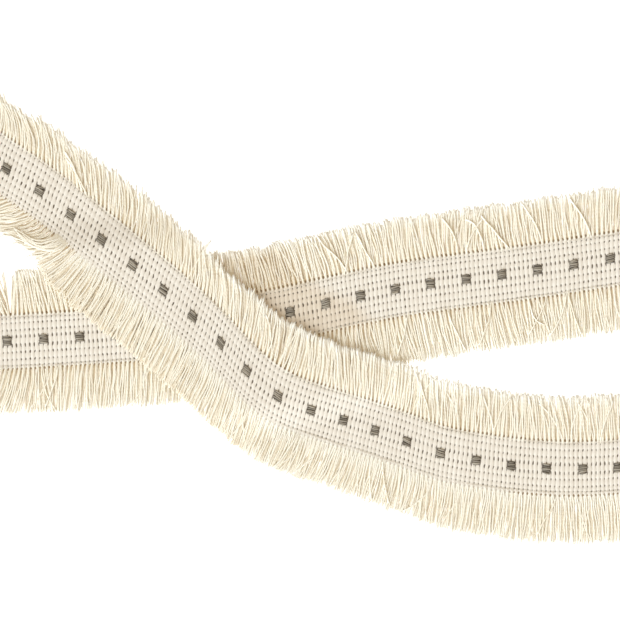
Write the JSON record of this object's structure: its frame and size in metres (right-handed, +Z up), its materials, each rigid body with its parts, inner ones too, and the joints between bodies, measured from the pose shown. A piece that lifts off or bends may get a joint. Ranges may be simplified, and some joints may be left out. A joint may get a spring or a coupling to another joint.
{
  "type": "double-sided brush fringe trim",
  "caption": "Cut length of flat woven cotton trim with cut yarn fringe along both edges and small woven-in dots, lying flat in one loop that crosses over itself.",
  "frame": {"origin": "on the flat underside of the lower band, under the middle of the crossing, at the height of the surface that the trim lies on", "axes": "+X runs along the trim's two open arms towards their cut ends, +Y is to the left of that seen from above, +Z is up, out of the face with the dots"},
  "size_m": [0.4693, 0.2465, 0.0048],
  "materials": {
    "tape_cloth": "ribbed cotton weave",
    "fringe_yarn": "soft cut cotton yarn"
  },
  "bodies": {
    "root": {"tape": "tape_cloth", "fringe_left_01": "fringe_yarn", "fringe_left_02": "fringe_yarn", "fringe_left_03": "fringe_yarn", "fringe_left_04": "fringe_yarn", "fringe_left_05": "fringe_yarn", "fringe_left_06": "fringe_yarn", "fringe_left_07": "fringe_yarn", "fringe_left_08": "fringe_yarn", "fringe_left_09": "fringe_yarn", "fringe_left_10": "fringe_yarn", "fringe_left_11": "fringe_yarn", "fringe_left_12": "fringe_yarn", "fringe_right_01": "fringe_yarn", "fringe_right_02": "fringe_yarn", "fringe_right_03": "fringe_yarn", "fringe_right_04": "fringe_yarn", "fringe_right_05": "fringe_yarn", "fringe_right_06": "fringe_yarn", "fringe_right_07": "fringe_yarn", "fringe_right_08": "fringe_yarn", "fringe_right_09": "fringe_yarn", "fringe_right_10": "fringe_yarn", "fringe_right_11": "fringe_yarn", "fringe_right_12": "fringe_yarn"}
  },
  "joints": []
}
